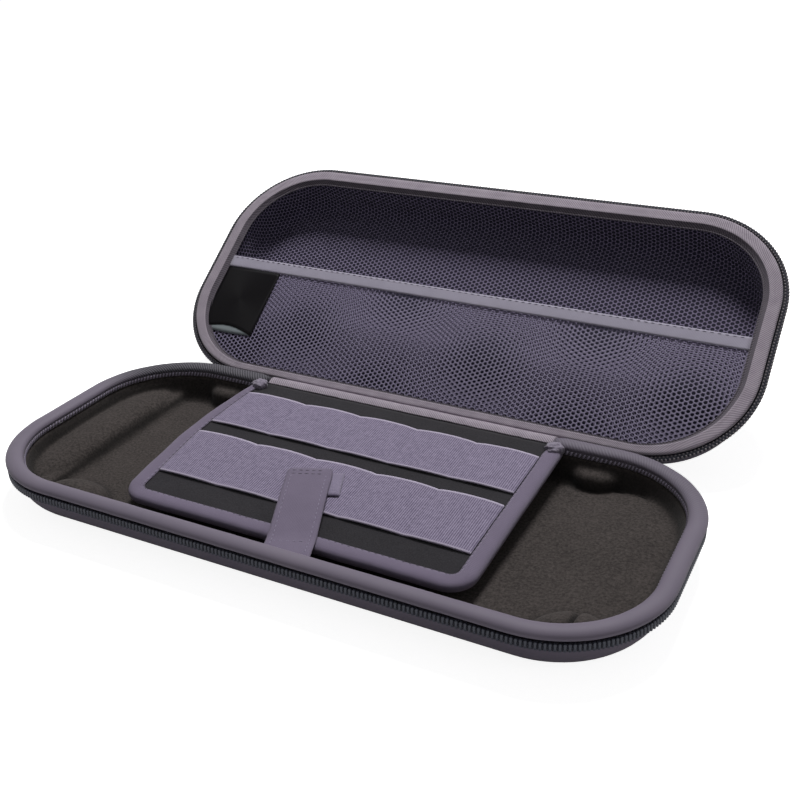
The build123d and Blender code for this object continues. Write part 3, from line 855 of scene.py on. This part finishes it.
bm = net(0.5, CASE_WIDTH / 2, 4.0, 0.73)
bmesh.ops.translate(bm, vec=(0, 0, 2.45), verts=bm.verts)
bmesh.ops.solidify(bm, geom=bm.faces[:], thickness=0.3)
pocket_net = piece(
    bm, "pocket_net_knit", net_thread, "lid_half", stands_for=["mesh_pocket"]
)

# %% [markdown]
# ## Elastic edge of the pocket
# A flat woven tape, 6 mm wide, runs across the lid along the mouth of the pocket. It is a thin
# grid with a little thickness and a row of small stitches along its upper side.

# %% Pocket elastic
def strip(width, length, columns, rows):
    """A flat grid with its cloth map in millimetres, width along x and length along y."""
    bm = bmesh.new()
    bmesh.ops.create_grid(bm, x_segments=columns, y_segments=rows, size=0.5)
    bmesh.ops.scale(bm, vec=(width, length, 1), verts=bm.verts)
    cloth = bm.loops.layers.uv.new("cloth")
    for face in bm.faces:
        for loop in face.loops:
            loop[cloth].uv = loop.vert.co.xy
    return bm


def round_corner(co, corner, radius):
    """Draw a point beyond a corner's middle back to its radius, left and right alike."""
    off = Vector((abs(co.x), co.y)) - corner
    if off.x > 0 and off.y * corner.y > 0 and off.length > radius:
        off *= radius / off.length
        co.x = math.copysign(corner.x + off.x, co.x)
        co.y = corner.y + off.y


def thicken(bm, thickness):
    """Give a flat grid its thickness on its underside."""
    bmesh.ops.solidify(bm, geom=bm.faces[:], thickness=thickness)


ELASTIC_MIDDLE = 0.9
ELASTIC_WIDTH = 6.1
HALF_SPAN = 124.5


def sag(x):
    """How far the elastic hangs, from nothing at its ends to 0.2 mm in the middle."""
    return 0.2 * (1 - (x / HALF_SPAN) ** 2)


bm = strip(2 * HALF_SPAN, ELASTIC_WIDTH, 120, 6)
for co in points(bm):
    crown = 1 - (2 * co.y / ELASTIC_WIDTH) ** 2
    co.z = 1.75 - sag(co.x) - 0.08 * crown
    co.y += ELASTIC_MIDDLE
thicken(bm, -0.4)
piece(
    bm, "pocket_elastic_woven", pocket_weave, "lid_half",
    stands_for=["pocket_elastic"],
)


def stitches(start, end, inset, height, pitch=2.6, length=1.7, thread=0.34):
    """A straight row of stitches along x, each one a stretched bead half sunk in the cloth."""
    bm = bmesh.new()
    bmesh.ops.create_uvsphere(bm, u_segments=6, v_segments=5, radius=0.5)
    lying = Matrix.Rotation(math.pi / 2, 3, "Y")
    bmesh.ops.rotate(bm, cent=(0, 0, 0), matrix=lying, verts=bm.verts)
    bmesh.ops.scale(bm, vec=(length, thread, thread), verts=bm.verts)
    bmesh.ops.translate(bm, vec=(start + length / 2, inset, height), verts=bm.verts)
    repeat(bm, int((end - start) / pitch), along=pitch)
    return bm


def sew_in(seams, row, place):
    """Lay a row of stitches in its place, and add it to the others."""
    bmesh.ops.transform(row, matrix=place, verts=row.verts)
    part = bpy.data.meshes.new("row")
    row.to_mesh(part)
    row.free()
    seams.from_mesh(part)


bm = stitches(-123, 123, ELASTIC_MIDDLE - 2.3, 1.6, pitch=3.0, length=1.5, thread=0.3)
for co in points(bm):
    co.z -= sag(co.x)
piece(bm, "pocket_elastic_stitches", dark_thread, "lid_half")

# %% [markdown]
# ## Blank label
# A black satin label is sewn in beside the pocket's mouth and folded, so that its grey reverse
# shows at the free end. It carries no words here.

# %% Label
LABEL_LEFT = -124.3
LABEL_TOP = 4.2


def label_layer(width, length, height, bulge, scoop):
    """One layer of the label, full in the middle and scooped out at its mouth."""
    bm = strip(width, length, 16, 20)
    for co in points(bm):
        across = co.x / width + 0.5
        down = co.y / length + 0.5
        lift = math.sin(math.pi * across) * math.sin(math.pi * min(1, down * 0.8 + 0.1))
        co.z = height - bulge * lift
        co.y = LABEL_TOP + down * (length - scoop * math.sin(math.pi * across))
        co.x = LABEL_LEFT + across * width
    thicken(bm, -0.15)
    return bm


bm = label_layer(29.6, 35.6, 1.75, 0.7, 3.4)
label_front = piece(
    bm, "label_satin_blank", label_satin, "lid_half", stands_for=["blank_label"]
)
bm = label_layer(29.2, 35.4, 2.0, 0.35, -0.6)
label_under = piece(bm, "label_reverse", label_back, "lid_half")

# %% [markdown]
# ## Hinge cloth
# One strip of twill joins the halves. It is sewn in over the rear edge of the felt, runs taut
# to the fold and on to the lid. It must bend with the lid, but here it is one sheet in the open
# pose, on neither body.

# %% Hinge cloth, one sheet in the open pose
hinge_points = [
    (53.4, 17.35), (54.2, 17.75), (55.6, 18.3), (57.4, 18.4), (59.2, 17.6), (61.0, 15.9),
    (62.6, 14.9), (65.2, 13.3), (67.6, 12.0), (68.5, 11.7),
]
hinge_line = [Vector(point) for point in hinge_points]
HINGE_RUN = sum((b - a).length for a, b in zip(hinge_line, hinge_line[1:]))


def on_line(points, distance):
    """The place that far along a line of points."""
    for first, second in zip(points, points[1:]):
        gap = (second - first).length
        if distance <= gap:
            return first + (second - first) * (distance / gap)
        distance -= gap
    return points[-1]


bm = strip(HINGE_LENGTH - 0.4, HINGE_RUN, 130, 40)
for co in points(bm):
    distance = co.y + HINGE_RUN / 2
    at = on_line(hinge_line, min(max(distance, 0), HINGE_RUN))
    fray = 0.5 * ripple(co.x / 2.5, 0, 1) * max(0, 1 - distance / 1.5)
    slack = 0.12 * ripple(co.x / 14, distance / 6, 4)
    co.y = at.x + fray
    co.z = at.y + slack
soften(bm, along_x=False)
thicken(bm, 0.4)
hinge_cloth = piece(
    bm, "hinge_cloth_twill", twill_binding, None, at=Matrix.Identity(4),
    stands_for=["hinge_strip_base", "hinge_strip_lid"],
)
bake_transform(hinge_cloth)

# %% [markdown]
# ## Tray
# The tray is foam pressed to shape under fleece, so nothing on it is crisp. The CAD solid has
# its bays, bars and bosses. A copy of it is rebuilt in small even faces and smoothed, which
# rounds every corner the way pressed foam rounds it. Where the real foam is fuller, the faces
# that look up are raised a few millimetres.

# %% Soft copy of the tray
def soft_copy(node, voxel, rounds):
    """A CAD solid rebuilt in small even faces and smoothed, as a new mesh in metres."""
    bm = bmesh.new()
    bm.from_mesh(nodes[node].data)
    bmesh.ops.remove_doubles(bm, verts=bm.verts, dist=1e-6)
    mesh = bpy.data.meshes.new("soft_" + node)
    bm.to_mesh(mesh)
    bm.free()
    obj = show("soft_" + node, mesh)
    rebuilt = obj.modifiers.new("rebuilt", "REMESH")
    rebuilt.mode = "VOXEL"
    rebuilt.voxel_size = voxel * MM
    smoothed = obj.modifiers.new("smoothed", "SMOOTH")
    smoothed.factor = 0.5
    smoothed.iterations = rounds
    graph = bpy.context.evaluated_depsgraph_get()
    final = bpy.data.meshes.new_from_object(obj.evaluated_get(graph))
    bpy.data.objects.remove(obj)
    return final


# Where the foam has swelled: middle, reach and height, all seen from above
SWELLINGS = [
    ((-115, 4), (11, 44), 3.4),
    ((-92, -42), (15, 12), 6.5),
    ((106, -42), (15, 12), 6.5),
]
FLEECE_FLOOR = 5.0
FLEECE_CEILING = 14.6
# The floor of the right bay rises towards the right bar
RAMP_START = 60
RAMP_END = 108
RAMP_RISE = 3.65
RAMP_HALF_WIDTH = 47


def swollen(place):
    """The height of the fleece over a place of the CAD tray."""
    height = place.z
    for middle, reach, rise in SWELLINGS:
        off = ((place.x - middle[0]) / reach[0]) ** 2 + ((place.y - middle[1]) / reach[1]) ** 2
        height += rise * max(0, 1 - off) ** 0.7
    return min(height, max(place.z, FLEECE_CEILING))


def paint_crease_shade(bm):
    """Paint shade on steep walls and in creases, as an attribute that darkens the fleece there."""
    bm.normal_update()
    smooth = bm.copy()
    for turn in range(10):
        soften(smooth)
    smooth.verts.ensure_lookup_table()
    bm.verts.ensure_lookup_table()
    painted_shade = bm.verts.layers.float.new("painted_shade")
    for vert in bm.verts:
        hollow = (smooth.verts[vert.index].co - vert.co).dot(vert.normal)
        steep = 0.9 * (1 - max(0, vert.normal.z)) ** 0.8
        vert[painted_shade] = min(0.92, max(0, steep + 0.9 * hollow))
    smooth.free()


soft_tray = soft_copy("base_tray", 1.0, 6)
bm = bmesh.new()
bm.from_mesh(soft_tray)
bmesh.ops.scale(bm, vec=(1 / MM, 1 / MM, 1 / MM), verts=bm.verts)
for vert in bm.verts:
    sway = noise.noise(vert.co * 0.09) + 0.5 * noise.noise(vert.co * 0.26)
    on_ramp = RAMP_START < vert.co.x < RAMP_END and abs(vert.co.y) < RAMP_HALF_WIDTH
    if on_ramp and vert.co.z > FLEECE_FLOOR - 0.8:
        way = (vert.co.x - RAMP_START) / (RAMP_END - RAMP_START)
        vert.co.z = max(vert.co.z, FLEECE_FLOOR + RAMP_RISE * way ** 2)
    if vert.normal.z > 0.2 and vert.co.z < 12.8:
        vert.co.z += vert.normal.z * (swollen(vert.co) - vert.co.z)
    vert.co += vert.normal * 0.12 * sway
soften(bm)
# Painted shade: the fleece is darkened on its steep walls and in its creases
paint_crease_shade(bm)
tray = piece(
    bm, "tray_fleece_foam", tray_fleece, "base_half", at=Matrix.Identity(4),
    stands_for=["base_tray"], outward=False,
)

# %% [markdown]
# ## Card flap
# The flap is a sheet of felt, about 2 mm thick, bound on three sides and sewn down along the
# hinge. It sags by fractions of a millimetre, which a slow noise in the grid gives.

# %% Felt panel
FLAP_WIDTH = 140.0
FLAP_LENGTH = 90.0
FLAP_CORNER = 9.0


def settle(bm):
    """Let what lies on the flap follow its sag, and the bow of its left side."""
    for co in points(bm):
        x, y = co.x, co.y
        co.z += 0.3 * ripple(x / 38, y / 30, 2)
        if x < 0:
            down = share(-y / FLAP_LENGTH)
            co.x = x * (1 + 0.058 * math.sin(math.pi * down ** 0.8))


FELT_TUCK = 3.6
bm = strip(FLAP_WIDTH - 1.0, FLAP_LENGTH + FELT_TUCK, 56, 38)
for co in points(bm):
    co.y -= (FLAP_LENGTH - FELT_TUCK) / 2
    if co.y > 0:
        co.x *= 1 - 0.07 * min(1, co.y / 1.5)
    corner = Vector((FLAP_WIDTH / 2 - FLAP_CORNER, -FLAP_LENGTH + FLAP_CORNER))
    round_corner(co, corner, FLAP_CORNER - 0.5)
    co.z = -0.05
settle(bm)
thicken(bm, 1.8)
panel = piece(
    bm, "flap_felt_panel", flap_felt, "base_half", at=FLAP, stands_for=["flap_panel"]
)

# %% [markdown]
# ## Binding of the flap
# A smooth cloth is folded over the felt's edge, puffed out a little, and stitched through
# along its inner side. The section is the folded cloth seen end on. At the rear its two ends
# are gathered into small knots.

# %% Flap binding
flap_legs = [
    FLAP_LENGTH - FLAP_CORNER, FLAP_CORNER * math.pi / 2, FLAP_WIDTH - 2 * FLAP_CORNER,
    FLAP_CORNER * math.pi / 2, FLAP_LENGTH - FLAP_CORNER,
]
FLAP_ROUND = sum(flap_legs)
flap_edge = route((-FLAP_WIDTH / 2, 0), -math.pi / 2, flap_legs, FLAP_CORNER, 1)
fold_section = [
    (6.0, 0.2), (5.6, 0.45), (4.2, 0.8), (2.4, 1.0), (0.8, 0.85), (-0.2, 0.3), (-0.6, -0.5),
    (-0.65, -1.4), (-0.4, -2.2), (0.4, -2.7), (3.0, -2.75), (6.0, -2.5), (6.0, -2.1), (0.6, -2.05),
    (0.2, -1.0), (0.6, 0.05),
]


SLIM_RUN = 75
SLIM_WIDTH = 0.55


def bind_flap(bm):
    """Lay a length round the flap, drawn in at the left rear, where it is pulled tight."""
    for co in points(bm):
        if co.y > 0:
            full = share(co.x / SLIM_RUN)
            co.y *= SLIM_WIDTH + (1 - SLIM_WIDTH) * full
    bend(bm, flap_edge)
    settle(bm)


bm = drawn_out(fold_section, 0, FLAP_ROUND, 1.3)
for co in points(bm):
    from_end = min(co.x, FLAP_ROUND - co.x)
    pinch = 0.16 * math.sin(2 * math.pi * co.x / 2.6)
    if 3.5 < co.y < 5.9 and co.z > 0:
        co.z += pinch
    co.z += 0.18 * ripple(co.x / 11, co.y / 5, 6)
    knot = max(0, 1 - from_end / 4.0)
    co.y *= 1 - 0.15 * knot
    if co.z > 0:
        co.z *= 1 + 0.5 * knot
cap_ends(bm)
bind_flap(bm)
piece(
    bm, "flap_binding_folded", strap_cover, "base_half", at=FLAP,
    stands_for=["flap_binding"],
)

bm = stitches(2, FLAP_ROUND - 2, 5.15, 0.52)
bind_flap(bm)
piece(bm, "flap_binding_stitches", lilac_thread, "base_half", at=FLAP)
bm = stitches(3.3, FLAP_ROUND - 2, 5.5, 0.4, length=0.8, thread=0.55)
bind_flap(bm)
piece(bm, "flap_binding_needle_holes", dark_thread, "base_half", at=FLAP)

bm = bmesh.new()
for side in (-1, 1):
    knot = bmesh.ops.create_icosphere(bm, subdivisions=4, radius=1.0)["verts"]
    bmesh.ops.scale(bm, vec=(3.6, 3.0, 1.9), verts=knot)
    for vert in knot:
        crease = 0.35 * ripple(vert.co.x * 0.5, vert.co.y * 1.6, side * 4)
        vert.co *= 1 + crease
    bmesh.ops.translate(bm, vec=(side * 67.4, -0.6, 0.9), verts=knot)
piece(bm, "flap_binding_knots", frayed_cloth, "base_half", at=FLAP)

# %% [markdown]
# ## Card bands
# Two bands of ribbed elastic are stitched down at six lines each, which leaves five pockets.
# Between the lines the elastic bows up, and its mouth bows out. Both bows are worked out from
# the place across the pocket, on a fine grid.

# %% Card bands and their stitch lines
BAND_SPAN = 127.8
POCKETS = 5


def across_pocket(x):
    """From 0 on a stitch line to 1 in the middle of a pocket."""
    pockets = (x / BAND_SPAN + 0.5) * POCKETS
    return math.sin(math.pi * (pockets - math.floor(pockets)))


def card_band(name, start, height, node):
    """A band that starts that far down the flap, and its seams."""
    bm = strip(BAND_SPAN, height, 160, 36)
    edge = bm.verts.layers.float.new("edge")
    for vert in bm.verts:
        down = 0.5 - vert.co.y / height
        vert[edge] = min(down, 1 - down) * height
        crown = min(1, abs(across_pocket(vert.co.x))) ** 0.7
        mouth = max(0, 1 - down * 2.2)
        crumple = 0.08 * ripple(vert.co.x / 6, vert.co.y / 9, start)
        vert.co.z = 0.78 + (0.5 + 0.15 * mouth) * crown + crumple
        vert.co.y = -start - down * height + 0.5 * mouth * crown
        pull = max(0, -vert.co.x - 38) / 26
        vert.co.x -= 2.4 * pull * max(0, 1 + vert.co.y / 75)
    settle(bm)
    thicken(bm, 0.6)
    band = piece(bm, name, band_elastic, "base_half", at=FLAP, stands_for=[node])
    seams = bmesh.new()
    for line in range(1, POCKETS):
        row = stitches(1.0, height - 0.5, 0, 0.8, pitch=2.2, length=1.5, thread=0.3)
        spot = Matrix.Translation((-BAND_SPAN / 2 + line * BAND_SPAN / POCKETS, -start, 0))
        sew_in(seams, row, spot @ Matrix.Rotation(-math.pi / 2, 4, "Z"))
    settle(seams)
    piece(seams, name + "_seams", lilac_thread, "base_half", at=FLAP)


card_band("upper_band_ribbed", 8.0, 26.0, "upper_card_band")
card_band("lower_band_ribbed", 42.5, 29.5, "lower_card_band")

# %% [markdown]
# ## Closure tab
# The tab comes up from behind the front roll, crosses the edge of the flap and is held on the
# lower band by hook and loop. It is two layers of cloth sewn together, so its edges are thin
# and its middle is slightly full, with a line of stitches just inside each edge.

# %% Tab, its stitches and the loop patch
TAB_WIDTH = 17.0
TAB_LENGTH = 52.0
TAB = Matrix.Translation((10.0, -51.0, 0)) @ Matrix.Rotation(math.radians(21.5), 4, "Z")
TAB_TUCK = 1.2
TAB_CORNER = 2.5
tab_points = [
    (-TAB_TUCK, 15.6), (2.0, 15.5), (12.0, 14.2), (24.0, 15.9), (34.8, 17.3), (TAB_LENGTH, 18.1),
]
tab_line = [Vector(point) for point in tab_points]


def tab_height(distance):
    """Height of the tab, with the corners of its line rounded off."""
    total = 0.0
    for shift in (-3, -1.5, 0, 1.5, 3):
        spot = min(max(distance + shift, tab_line[0].x), TAB_LENGTH)
        for first, second in zip(tab_line, tab_line[1:]):
            if first.x <= spot <= second.x:
                total += first.y + (second.y - first.y) * (spot - first.x) / (second.x - first.x)
                break
    return total / 5


def lay_on_tab(bm, over):
    """Lift a flat piece onto the line of the tab, and that far over it."""
    for co in points(bm):
        co.z = co.z + over + tab_height(co.y)


bm = strip(TAB_WIDTH, TAB_LENGTH + TAB_TUCK, 20, 60)
for co in points(bm):
    co.y += (TAB_LENGTH - TAB_TUCK) / 2
    corner = Vector((TAB_WIDTH / 2 - TAB_CORNER, TAB_LENGTH - TAB_CORNER))
    round_corner(co, corner, TAB_CORNER)
    rim_gap = min(TAB_WIDTH / 2 - abs(co.x), TAB_LENGTH - co.y)
    wrinkle = 0.12 * ripple(co.x / 7, co.y / 7, 9)
    co.z = 0.3 * min(1, rim_gap / 2.2) + wrinkle
lay_on_tab(bm, 0.4)
thicken(bm, 0.9)
tab = piece(
    bm, "closure_tab_stitched", strap_cover, "base_half", at=TAB,
    stands_for=["closure_tab"],
)

seams = bmesh.new()
holes = bmesh.new()
aside = TAB_WIDTH / 2 - 2.0
upright = Matrix.Rotation(math.pi / 2, 4, "Z")
rows = [
    (seams, Matrix.Translation((-aside, 2, 0)) @ upright, TAB_LENGTH - 5),
    (seams, Matrix.Translation((aside, 2, 0)) @ upright, TAB_LENGTH - 5),
    (holes, Matrix.Translation((-aside, TAB_LENGTH - 2.2, 0)), TAB_WIDTH - 4),
    (holes, Matrix.Translation((-aside, TAB_LENGTH - 4.4, 0)), TAB_WIDTH - 4),
    (seams, Matrix.Translation((-aside, 9.0, 0)), TAB_WIDTH - 4),
]
for kept, place, length in rows:
    sew_in(kept, stitches(0, length, 0, 0, pitch=2.4, length=1.5, thread=0.36), place)
lay_on_tab(seams, 0.7)
lay_on_tab(holes, 0.72)
piece(seams, "closure_tab_stitches", lilac_thread, "base_half", at=TAB)
piece(holes, "closure_tab_top_seam", dark_thread, "base_half", at=TAB)

PAD_WIDTH, PAD_LENGTH = 19.0, 14.0
PAD_MIDDLE = Vector((3.0, 45.0, 16.0))
PAD_SLOPE = 0.0488
bm = strip(PAD_WIDTH, PAD_LENGTH, 30, 24)
for co in points(bm):
    rim_gap = min(PAD_WIDTH / 2 - abs(co.x), PAD_LENGTH / 2 - abs(co.y))
    nap = 0.2 * ripple(co.x * 1.1, co.y * 1.1, 0)
    co.z = 0.5 * min(1, rim_gap / 0.8) + nap * min(1, rim_gap) + PAD_SLOPE * co.y
    co += PAD_MIDDLE
thicken(bm, 0.5)
loop_pad = piece(
    bm, "loop_patch_pile", loop_pile, "base_half", at=TAB, stands_for=["loop_patch"]
)
